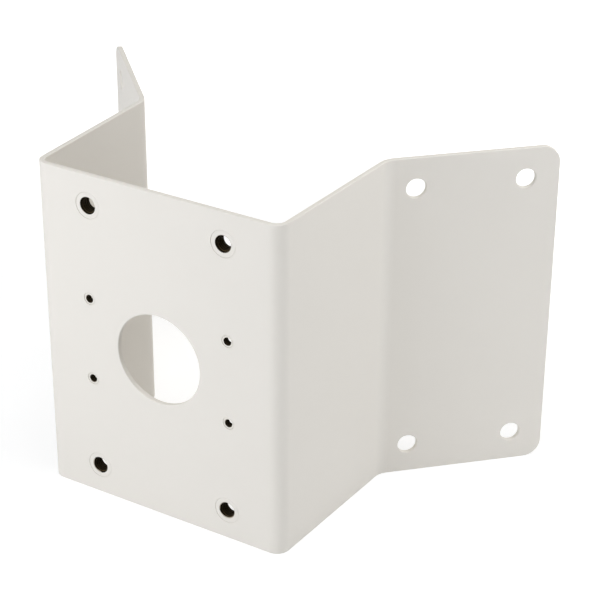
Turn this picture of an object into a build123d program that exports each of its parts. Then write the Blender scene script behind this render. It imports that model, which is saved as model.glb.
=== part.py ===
from build123d import *

import math
import os

# A corner bracket for a wall camera. One steel sheet is folded four times: a front plate that
# carries the camera, two side plates, and two wings that lie on the two walls of a building's
# corner. Threaded nuts are pressed into the front plate from behind.
#
# Millimetres. Z is up, the front plate faces -Y, and the bracket is the same left and right.
# The origin is under the middle of the bracket, on the surface that it stands on.

# The folded sheet. Widths and lengths go to the sharp corners that the outer faces would meet in.
plate_height = 165.0
sheet = 2.6
front_width = 130.5
side_depth = 84.5
side_splay = 2.0
wing_length = 81.5
wing_angle = 45.0
front_bend_inside = 4.0
rear_bend_inside = 9.0
wing_corner_radius = 8.5
edge_chamfer = 0.3

# Plain holes: one for the cable, and four in each wing for the wall screws
cable_hole = 44.7
wall_hole = 9.5
wall_hole_spacing = 52.0
wall_hole_rise = 135.0
wall_hole_end_margin = 16.0

# The four large nuts near the corners of the front plate
large_spacing = 72.0
large_rise = 135.0
large_bore = 6.7
large_mouth = 8.4
large_shank = 12.9
large_head = 16.4
large_standoff = 4.0
large_head_chamfer = 0.5

# The four small nuts beside the cable hole
small_spacing = 75.0
small_rise = 41.5
small_bore = 3.3
small_mouth = 4.1
small_shank = 6.1
small_head = 8.6
small_standoff = 1.0
small_head_chamfer = 0.2

# How a nut sits in the plate: the play around its shank, how far its end is set back from the
# front face, and the groove that this leaves around it under the coating
press_play = 0.02
shank_setback = 0.05
shank_groove = 0.15

# The share of the cut edge that the chamfers of both faces may take together
most_of_the_edge = 0.8


def sheet_path():
    """The outer face's corners in plan, from the left wing's end to the right wing's end."""
    splay = math.radians(side_splay)
    wing = math.radians(wing_angle)
    front = Vector(front_width / 2, 0)
    rear = front + Vector(math.sin(splay), math.cos(splay)) * side_depth
    end = rear + Vector(math.cos(wing), math.sin(wing)) * wing_length
    right = [front, rear, end]
    left = [Vector(-p.X, p.Y) for p in reversed(right)]
    return left + right


def folded_sheet():
    """The blank after its four bends, with square wing ends and no holes."""
    front_bend_outside = front_bend_inside + sheet
    radii = [rear_bend_inside, front_bend_outside, front_bend_outside, rear_bend_inside]
    outer_face = FilletPolyline(*sheet_path(), radius=radii)
    section = outer_face.wire().offset_2d(sheet, side=Side.LEFT, closed=True)
    return extrude(make_face(section), amount=plate_height, dir=(0, 0, 1))


def wing_plane(hand):
    """A wing's front face: X is level, Y is up, and the origin is half way up the free end."""
    wing = math.radians(wing_angle)
    end = sheet_path()[-1]
    origin = (hand * end.X, end.Y, plate_height / 2)
    outward = (hand * math.cos(wing), math.sin(wing), 0)
    facing = (hand * math.sin(wing), -math.cos(wing), 0)
    if hand < 0:
        outward = tuple(-c for c in outward)
    return Plane(origin=origin, x_dir=outward, z_dir=facing)


def front_plane():
    """The front plate's outer face: X to the right, Y up, facing the camera that it carries."""
    return Plane(origin=(0, 0, plate_height / 2), x_dir=(1, 0, 0), z_dir=(0, -1, 0))


def cutter(plane, places, diameter):
    """Round punches through the sheet at each place on a plane."""
    punches = Sketch() + [plane * place * Circle(diameter / 2) for place in places]
    return extrude(punches, amount=2 * sheet, both=True)


def wing_hole_places(hand):
    """The four wall holes of a wing, on its own plane."""
    middle = wall_hole_end_margin + wall_hole_spacing / 2
    grid = GridLocations(wall_hole_spacing, wall_hole_rise, 2, 2)
    return [Pos(-hand * middle, 0) * place for place in grid]


def wing_corner_edges(plate):
    """The four short edges at the free ends of the wings."""
    short = plate.edges().filter_by(lambda e: math.isclose(e.length, sheet, rel_tol=1e-4))
    return short.sort_by(lambda e: abs(e.center().X))[-4:]


def sharp_edges(plate):
    """Every edge that the shears and punches left: all but the bend lines and the short joins."""
    long_edges = plate.edges().filter_by(lambda e: e.length > 1.01 * sheet)
    upright = long_edges.filter_by(Axis.Z)
    wing_ends = upright.sort_by(lambda e: abs(e.center().X))[-4:]
    bend_lines = [e for e in upright if e not in wing_ends]
    return [e for e in long_edges if e not in bend_lines]


def corner_plate():
    """The folded sheet with rounded wing corners, its plain holes and the seats of the nuts."""
    plate = folded_sheet()
    plate = fillet(wing_corner_edges(plate), wing_corner_radius)
    plate -= cutter(front_plane(), [Pos(0, 0)], cable_hole)
    for hand in (-1, 1):
        plate -= cutter(wing_plane(hand), wing_hole_places(hand), wall_hole)
    plate = chamfer(sharp_edges(plate), min(edge_chamfer, most_of_the_edge * sheet / 2))
    plate -= cutter(front_plane(), large_places(), large_shank + 2 * press_play)
    plate -= cutter(front_plane(), small_places(), small_shank + 2 * press_play)
    return plate


def large_places():
    return list(GridLocations(large_spacing, large_rise, 2, 2))


def small_places():
    return list(GridLocations(small_spacing, small_rise, 2, 2))


def press_nut(bore, mouth, shank, head, standoff, head_chamfer):
    """One turned nut about the Z axis, its shank end towards +Z and the plate's face at Z = 0."""
    lead_in = (mouth - bore) / 2
    back = sheet + standoff
    outline = [
        (bore / 2, shank_setback + lead_in),
        (mouth / 2, shank_setback),
        (shank / 2 - shank_groove, shank_setback),
        (shank / 2, shank_setback + shank_groove),
        (shank / 2, sheet),
        (head / 2, sheet),
        (head / 2, back - head_chamfer),
        (head / 2 - head_chamfer, back),
        (mouth / 2, back),
        (bore / 2, back - lead_in),
    ]
    half_section = Polyline(*[(radius, 0, -depth) for radius, depth in outline], close=True)
    return revolve(make_face(half_section), axis=Axis.Z)


def nut_group(nut, places):
    """Copies of one nut as separate solids, each seated in the front plate."""
    return Compound(children=[front_plane() * place * nut for place in places])


def build():
    """Every node of the bracket by name, moved so that the origin is under its middle."""
    plate = corner_plate()
    large_nut = press_nut(
        large_bore, large_mouth, large_shank, large_head, large_standoff, large_head_chamfer
    )
    small_nut = press_nut(
        small_bore, small_mouth, small_shank, small_head, small_standoff, small_head_chamfer
    )
    to_middle = Pos(0, -plate.bounding_box().center().Y, 0)
    return {
        "corner_plate": to_middle * plate,
        "large_clinch_nuts": to_middle * nut_group(large_nut, large_places()),
        "small_clinch_nuts": to_middle * nut_group(small_nut, small_places()),
    }


os.makedirs("parts", exist_ok=True)
for node, shape in build().items():
    export_step(shape, f"parts/{node}.step")
    box = shape.bounding_box()
    print(node, "solids", len(shape.solids()), "size", box.size, "from", box.min, "to", box.max)
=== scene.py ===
import math
from collections import namedtuple

import bmesh
import bpy
from mathutils import Matrix, Vector


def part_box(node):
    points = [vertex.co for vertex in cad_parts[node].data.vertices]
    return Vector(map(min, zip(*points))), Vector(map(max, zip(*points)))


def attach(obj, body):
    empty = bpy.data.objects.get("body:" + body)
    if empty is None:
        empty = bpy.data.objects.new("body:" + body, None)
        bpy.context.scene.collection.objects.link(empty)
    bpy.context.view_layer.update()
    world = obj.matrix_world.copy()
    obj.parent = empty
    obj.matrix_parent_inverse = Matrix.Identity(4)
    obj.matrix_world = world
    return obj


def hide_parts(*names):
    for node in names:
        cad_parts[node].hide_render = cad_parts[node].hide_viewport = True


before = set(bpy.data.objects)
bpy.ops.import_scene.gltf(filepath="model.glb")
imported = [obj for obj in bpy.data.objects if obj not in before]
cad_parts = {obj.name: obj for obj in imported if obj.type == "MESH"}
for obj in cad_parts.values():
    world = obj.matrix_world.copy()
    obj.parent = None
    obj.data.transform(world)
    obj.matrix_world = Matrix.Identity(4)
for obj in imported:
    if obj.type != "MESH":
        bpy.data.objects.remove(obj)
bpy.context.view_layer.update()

# The looks of a camera corner bracket: a folded sheet under a pale powder coat, and the threaded
# nuts pressed into its front plate. Metres, unless a comment says millimetres. The front plate
# faces -Y and Z is up.

millimetre = 0.001
front_of_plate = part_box("corner_plate")[0].y

# The photograph's camera: where it stands, from a point on the floor under the middle of the front
# plate, how it is turned in degrees, and its focal length in pixels of a square picture
camera_from_front = Vector((0.4506, -0.6086, 0.5085))
camera_azimuth = 31.714
camera_elevation = 27.627
camera_roll = 0.327
focal_pixels = 1931.3
picture_pixels = 600
sensor_width = 36.0
nearest_seen = 0.05
farthest_seen = 20.0

# The pressed-in nuts in millimetres: the thread's width and pitch, the widths of the bore's mouth,
# the shank and the head, how far the shank reaches into the plate, the chamfer at the back of the
# head, the groove around the shank's end, and how deep the coat has run into the bore at most
Nut = namedtuple("Nut", "thread pitch mouth shank head reach chamfer groove lip")
nuts = {
    "large_clinch_nuts": Nut(
        thread=8.0, pitch=1.25, mouth=8.4, shank=12.9, head=16.4,
        reach=2.55, chamfer=0.5, groove=0.22, lip=0.36,
    ),
    "small_clinch_nuts": Nut(
        thread=4.0, pitch=0.7, mouth=4.1, shank=6.1, head=8.6,
        reach=2.55, chamfer=0.2, groove=0.4, lip=0.2,
    ),
}

# Thread form, as shares of the pitch: a flat crest, a flank, a flat root and the other flank. The
# depth is that of a metric thread.
crest_share = 1 / 4
root_share = 1 / 8
flank_share = (1 - crest_share - root_share) / 2
depth_share = 0.5413

# How fine the nuts' meshes are. Points closer than the weld, in millimetres, become one, and edges
# shorter than the sliver go.
columns_around = 64
steps_on_flank = 3
weld = 0.001
sliver = 0.0001
sharp_angle = math.radians(28)

# Colours of the coat in its darkest and lightest clouds and of its thin lip in the bores, and of
# the steel on the threads' flanks and crests, each between two values. The flanks' near-black is
# dark oxide with the bore's shade painted in, and the crests' lighter colour is a painted highlight:
# a shaded and a lit copy of the one steel.
coat_low = (0.774, 0.744, 0.688)
coat_high = (0.788, 0.758, 0.702)
coat_lip = (0.55, 0.49, 0.40)
flank_oxide_and_painted_shade_low = (0.002, 0.0014, 0.0006)
flank_oxide_and_painted_shade_high = (0.006, 0.004, 0.0015)
crest_painted_highlight_low = (0.02, 0.014, 0.006)
crest_painted_highlight_high = (0.11, 0.08, 0.045)
steel_gloss_tint = (1.0, 0.8, 0.5)

# The coat's lip: which random pattern it follows, the values of that pattern from which it shows
# and at which it is deepest, and half the width over which its edge fades
lip_pattern = 0.0
lip_shows_from = 0.4
lip_deepest_at = 0.62
lip_edge_half = 0.00004

# The floor: half its width, its colour for the object's light, and what the picture shows of it: a
# grey that takes the shadow, under a glow that lifts it to white. From the shadow's reach to twice
# as far from the middle, the glow rises to full strength.
floor_half = 3.0
floor_colour = (0.8, 0.8, 0.805)
floor_shadow = 0.54
floor_glow = 0.6
shadow_reach = 0.25

# Light: none from the world, and lamps of three tints that look at one point in the bracket
world_strength = 0.0
lamps_look_at = Vector((0, 0, 0.08))
cool = (0.94, 0.963, 1.0)
soft_white = (0.96, 0.967, 0.988)
warm = (1.0, 0.96, 0.9)


def make_camera():
    azimuth = math.radians(camera_azimuth)
    elevation = math.radians(camera_elevation)
    roll = math.radians(camera_roll)
    forward = Vector((
        -math.sin(azimuth) * math.cos(elevation),
        math.cos(azimuth) * math.cos(elevation),
        -math.sin(elevation),
    ))
    level_right = forward.cross(Vector((0, 0, 1))).normalized()
    level_up = level_right.cross(forward)
    right = level_right * math.cos(roll) + level_up * math.sin(roll)
    up = level_up * math.cos(roll) - level_right * math.sin(roll)
    camera = bpy.data.cameras.new("photo_camera")
    camera.sensor_width = sensor_width
    camera.lens = focal_pixels / picture_pixels * sensor_width
    camera.clip_start = nearest_seen
    camera.clip_end = farthest_seen
    holder = bpy.data.objects.new("photo_camera", camera)
    bpy.context.scene.collection.objects.link(holder)
    place = camera_from_front + Vector((0, front_of_plate, 0))
    turn = Matrix((right, up, -forward)).transposed()
    holder.matrix_world = Matrix.Translation(place) @ turn.to_4x4()
    bpy.context.scene.camera = holder


def node_tools(tree):
    """Two calls for one tree: the first adds a node with its settings, the second joins two nodes."""
    def node(kind, **values):
        made = tree.nodes.new(kind)
        for key, value in values.items():
            if hasattr(made, key):
                setattr(made, key, value)
            else:
                made.inputs[key.replace("_", " ")].default_value = value
        return made

    def join(source, output, target, entry):
        tree.links.new(source.outputs[output], target.inputs[entry])

    return node, join


def new_material(name):
    """A material with its shader, and the two calls that add and join its nodes."""
    material = bpy.data.materials.new(name)
    material.use_nodes = True
    shader = material.node_tree.nodes["Principled BSDF"]
    return material, shader, *node_tools(material.node_tree)


def colour_mix(node, low, high):
    """A mix of two colours; its factor is input 0 and its colour is output 2."""
    tint = node("ShaderNodeMix", data_type="RGBA")
    tint.inputs[6].default_value = (*low, 1)
    tint.inputs[7].default_value = (*high, 1)
    return tint


def powder_coat():
    """A pale warm powder coat: almost even in colour, with a fine orange peel."""
    material, shader, node, join = new_material("powder_coat")
    place = node("ShaderNodeTexCoord")
    cloud = node("ShaderNodeTexNoise", Scale=35.0, Detail=3.0)
    grain = node("ShaderNodeTexNoise", Scale=1400.0, Detail=3.0)
    peel = node("ShaderNodeTexNoise", Scale=900.0, Detail=2.0)
    for texture in (cloud, grain, peel):
        join(place, "Object", texture, "Vector")
    tint = colour_mix(node, coat_low, coat_high)
    join(cloud, "Fac", tint, 0)
    join(tint, 2, shader, "Base Color")
    rough = node("ShaderNodeMapRange", To_Min=0.48, To_Max=0.6)
    join(grain, "Fac", rough, "Value")
    join(rough, "Result", shader, "Roughness")
    bump = node("ShaderNodeBump", Strength=0.12, Distance=0.00004)
    join(peel, "Fac", bump, "Height")
    join(bump, "Normal", shader, "Normal")
    return material


def thread_steel(name, lip, low, high):
    """Dark oxide steel in a bore, its colour between low and high holding painted shade or a painted
    highlight, with a ragged lip of the coat up to so deep inside its mouth.
    """
    material, shader, node, join = new_material(name)
    place = node("ShaderNodeTexCoord")
    grain = node("ShaderNodeTexNoise", Scale=2500.0, Detail=4.0)
    wander = node("ShaderNodeTexNoise", noise_dimensions="4D", W=lip_pattern, Scale=130.0, Detail=1.0)
    ragged = node("ShaderNodeTexNoise", Scale=2200.0, Detail=3.0)
    for texture in (grain, wander, ragged):
        join(place, "Object", texture, "Vector")
    steel = colour_mix(node, low, high)
    join(grain, "Fac", steel, 0)

    # How deep the lip reaches here, ragged by a quarter either way, less how deep this point lies
    depth = node("ShaderNodeSeparateXYZ")
    join(place, "Object", depth, "Vector")
    reach = node(
        "ShaderNodeMapRange", From_Min=lip_shows_from, From_Max=lip_deepest_at, To_Min=0.0, To_Max=lip
    )
    join(wander, "Fac", reach, "Value")
    uneven = node("ShaderNodeMapRange", From_Min=0.3, From_Max=0.7, To_Min=-lip / 4, To_Max=lip / 4)
    join(ragged, "Fac", uneven, "Value")
    edge = node("ShaderNodeMath", operation="ADD")
    join(reach, "Result", edge, 0)
    join(uneven, "Result", edge, 1)
    left_over = node("ShaderNodeMath", operation="SUBTRACT")
    join(edge, 0, left_over, 0)
    join(depth, "Y", left_over, 1)
    covered = node("ShaderNodeMapRange", From_Min=-lip_edge_half, From_Max=lip_edge_half)
    join(left_over, 0, covered, "Value")

    tint = colour_mix(node, low, coat_lip)
    join(covered, "Result", tint, 0)
    join(steel, 2, tint, 6)
    join(tint, 2, shader, "Base Color")
    shader.inputs["Roughness"].default_value = 0.42
    shader.inputs["Specular IOR Level"].default_value = 0.05
    shader.inputs["Specular Tint"].default_value = (*steel_gloss_tint, 1)
    return material


def show_to_the_camera(node, join, real, shown, output):
    """Joins one shader for the object's light, and one for the camera and for gloss and glass."""
    path = node("ShaderNodeLightPath")
    seen_or_glossed = node("ShaderNodeMath", operation="MAXIMUM")
    join(path, "Is Camera Ray", seen_or_glossed, 0)
    join(path, "Is Glossy Ray", seen_or_glossed, 1)
    shows = node("ShaderNodeMath", operation="MAXIMUM")
    join(seen_or_glossed, 0, shows, 0)
    join(path, "Is Transmission Ray", shows, 1)
    either = node("ShaderNodeMixShader")
    join(shows, 0, either, 0)
    join(real, 0, either, 1)
    join(shown, 0, either, 2)
    join(either, 0, output, "Surface")


def floor_material():
    """White in the picture, with a faint shadow around the object, which stands in its middle."""
    material = bpy.data.materials.new("pale_floor")
    material.use_nodes = True
    tree = material.node_tree
    tree.nodes.remove(tree.nodes["Principled BSDF"])
    node, join = node_tools(tree)
    plain = node("ShaderNodeBsdfDiffuse", Color=(*floor_colour, 1))
    shaded = node("ShaderNodeBsdfDiffuse", Color=(floor_shadow, floor_shadow, floor_shadow, 1))
    place = node("ShaderNodeTexCoord")
    from_middle = node("ShaderNodeVectorMath", operation="LENGTH")
    join(place, "Object", from_middle, 0)
    whiter = node(
        "ShaderNodeMapRange", From_Min=shadow_reach, From_Max=2 * shadow_reach, To_Min=floor_glow
    )
    join(from_middle, "Value", whiter, "Value")
    glow = node("ShaderNodeEmission")
    join(whiter, "Result", glow, "Strength")
    white = node("ShaderNodeAddShader")
    join(shaded, 0, white, 0)
    join(glow, 0, white, 1)
    show_to_the_camera(node, join, plain, white, tree.nodes["Material Output"])
    return material


def make_floor():
    mesh = bpy.data.meshes.new("floor")
    corners = [(x * floor_half, y * floor_half, 0) for x, y in ((-1, -1), (1, -1), (1, 1), (-1, 1))]
    mesh.from_pydata(corners, [], [(0, 1, 2, 3)])
    floor = bpy.data.objects.new("floor", mesh)
    bpy.context.scene.collection.objects.link(floor)
    floor.data.materials.append(floor_material())


def make_world():
    world = bpy.data.worlds.new("studio")
    bpy.context.scene.world = world
    world.use_nodes = True
    tree = world.node_tree
    node, join = node_tools(tree)
    around = tree.nodes["Background"]
    around.inputs["Color"].default_value = (1, 1, 1, 1)
    around.inputs["Strength"].default_value = world_strength
    white = node("ShaderNodeBackground", Color=(1, 1, 1, 1), Strength=1.0)
    show_to_the_camera(node, join, around, white, tree.nodes["World Output"])


def soft_lamp(name, azimuth, elevation, distance, size, power, colour):
    """A square lamp that looks at the bracket; azimuth turns from the front towards the right."""
    turn = math.radians(azimuth)
    rise = math.radians(elevation)
    away = Vector((
        math.sin(turn) * math.cos(rise),
        -math.cos(turn) * math.cos(rise),
        math.sin(rise),
    ))
    light = bpy.data.lights.new(name, "AREA")
    light.shape = "SQUARE"
    light.size = size
    light.energy = power
    light.color = colour
    lamp = bpy.data.objects.new(name, light)
    bpy.context.scene.collection.objects.link(lamp)
    lamp.location = lamps_look_at + away * distance
    lamp.rotation_euler = (-away).to_track_quat("-Z", "Y").to_euler()
    lamp.visible_camera = False


def point_around(radius, y, column):
    """A point at this radius from the Y axis, in one of the columns around it."""
    turn = 2 * math.pi * column / columns_around
    return radius * math.sin(turn), y, radius * math.cos(turn)


def thread_steps():
    """Shares of the pitch where the thread gets a row of points, and its depth at each, 0 to 1."""
    steps = [(0.0, 0.0)]
    for k in range(steps_on_flank + 1):
        rise = k / steps_on_flank
        steps.append((crest_share + flank_share * rise, rise))
    for k in range(steps_on_flank):
        fall = k / steps_on_flank
        steps.append((crest_share + flank_share + root_share + flank_share * fall, 1 - fall))
    return steps


def add_bore(mesh, nut, back):
    """The thread as rows of points along its helix, cut off and flared at both ends."""
    steps = thread_steps()
    one_turn = len(steps)
    turns = math.ceil(back / nut.pitch) + 2
    rows = [(turn - 1 + share, depth) for turn in range(turns) for share, depth in steps]
    full_depth = depth_share * nut.pitch
    minor = nut.thread / 2 - full_depth
    grid = []
    for column in range(columns_around):
        climbed = column / columns_around
        line = []
        for pitches, depth in rows:
            y = min(max((pitches + climbed) * nut.pitch, 0.0), back)
            flare = nut.mouth / 2 - min(y, back - y)
            radius = max(minor + depth * full_depth, flare)
            if y in (0.0, back):
                radius = nut.mouth / 2
            line.append(mesh.verts.new(point_around(radius, y, column)))
        grid.append(line)

    # The last column joins the first one a turn further on, so it has a turn fewer of faces
    for column in range(columns_around):
        here = grid[column]
        wraps = column == columns_around - 1
        there = grid[0][one_turn:] if wraps else grid[column + 1]
        for row in range(len(rows) - 1 - (one_turn if wraps else 0)):
            face = mesh.faces.new((here[row], here[row + 1], there[row + 1], there[row]))
            # Crest faces take the lighter steel, a painted highlight; flank faces the near-black one,
            # dark oxide with painted shade
            on_crest = row % one_turn == 0
            face.material_index = 2 if on_crest else 1


def add_outside(mesh, nut, back):
    """The nut's turned outside, from the bore's mouth over shank and head to the back."""
    outline = [
        (nut.mouth / 2, 0),
        (nut.shank / 2 - nut.groove, 0),
        (nut.shank / 2, nut.groove),
        (nut.shank / 2, nut.reach),
        (nut.head / 2, nut.reach),
        (nut.head / 2, back - nut.chamfer),
        (nut.head / 2 - nut.chamfer, back),
        (nut.mouth / 2, back),
    ]
    rings = []
    for radius, y in outline:
        places = [point_around(radius, y, column) for column in range(columns_around)]
        rings.append([mesh.verts.new(place) for place in places])
    for ring, following in zip(rings, rings[1:]):
        for column in range(columns_around):
            after = (column + 1) % columns_around
            mesh.faces.new((ring[column], ring[after], following[after], following[column]))


def nut_mesh(nut, back):
    """One closed nut in millimetres about the Y axis, its mouth at Y = 0."""
    mesh = bmesh.new()
    add_bore(mesh, nut, back)
    add_outside(mesh, nut, back)
    bmesh.ops.remove_doubles(mesh, verts=mesh.verts, dist=weld)
    bmesh.ops.dissolve_degenerate(mesh, edges=mesh.edges, dist=sliver)
    bmesh.ops.recalc_face_normals(mesh, faces=mesh.faces)
    return mesh


def four_nuts(name, nut):
    """A mesh of four nuts in the corners of the node's box, with its front face at Y = 0."""
    low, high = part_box(name)
    one = nut_mesh(nut, (high.y - low.y) / millimetre)
    shape = bpy.data.meshes.new("one_nut")
    one.to_mesh(shape)
    one.free()
    inset = nut.head / 2 * millimetre
    group = bmesh.new()
    for x in (low.x + inset, high.x - inset):
        for z in (low.z + inset, high.z - inset):
            start = len(group.verts)
            group.from_mesh(shape)
            group.verts.ensure_lookup_table()
            bmesh.ops.scale(group, vec=(millimetre,) * 3, verts=group.verts[start:])
            bmesh.ops.translate(group, vec=(x, 0, z), verts=group.verts[start:])
    bpy.data.meshes.remove(shape)
    joined = bpy.data.meshes.new(name + "_threaded")
    group.to_mesh(joined)
    group.free()
    joined.shade_smooth()
    joined.set_sharp_from_angle(angle=sharp_angle)
    return joined


def threaded_nuts(name, nut, coat):
    """Four nuts in one piece, in the places of the node that it replaces."""
    mesh = four_nuts(name, nut)
    lip = nut.lip * millimetre
    mesh.materials.append(coat)
    # The flanks' steel holds painted shade over dark oxide, and the crests' steel a painted highlight
    mesh.materials.append(thread_steel(name + "_flanks_oxide_and_painted_shade", lip, flank_oxide_and_painted_shade_low, flank_oxide_and_painted_shade_high))
    mesh.materials.append(thread_steel(name + "_crests_painted_highlight", lip, crest_painted_highlight_low, crest_painted_highlight_high))
    piece = bpy.data.objects.new(name + "_threaded", mesh)
    piece.location.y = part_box(name)[0].y
    bpy.context.scene.collection.objects.link(piece)
    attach(piece, "root")
    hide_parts(name)


make_camera()
make_floor()
make_world()

soft_lamp("front_high", azimuth=0, elevation=50, distance=2.2, size=1.4, power=12.1, colour=cool)
soft_lamp("front_low", azimuth=0, elevation=12, distance=2.2, size=1.4, power=7.8, colour=cool)
soft_lamp("front_close", azimuth=-10, elevation=4, distance=0.5, size=0.3, power=0.22, colour=cool)
soft_lamp("left_close", azimuth=-30, elevation=2, distance=0.7, size=0.3, power=1.62, colour=soft_white)
soft_lamp("right_front_high", azimuth=60, elevation=60, distance=1.0, size=0.7, power=1.05, colour=warm)
soft_lamp("right_high", azimuth=90, elevation=60, distance=1.0, size=0.7, power=0.95, colour=warm)
soft_lamp("right_close", azimuth=105, elevation=12, distance=0.7, size=0.5, power=1.8, colour=cool)
soft_lamp("right_rear", azimuth=150, elevation=12, distance=1.0, size=0.7, power=1.5, colour=warm)
soft_lamp("rear_low", azimuth=180, elevation=12, distance=1.0, size=0.7, power=0.72, colour=warm)
soft_lamp("rear_high", azimuth=180, elevation=60, distance=1.0, size=0.7, power=1.76, colour=warm)
soft_lamp("overhead", azimuth=0, elevation=90, distance=2.2, size=1.4, power=13.9, colour=cool)

coat = powder_coat()
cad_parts["corner_plate"].material_slots[0].material = coat
for name, nut in nuts.items():
    threaded_nuts(name, nut, coat)

bpy.context.scene.view_settings.view_transform = "Standard"
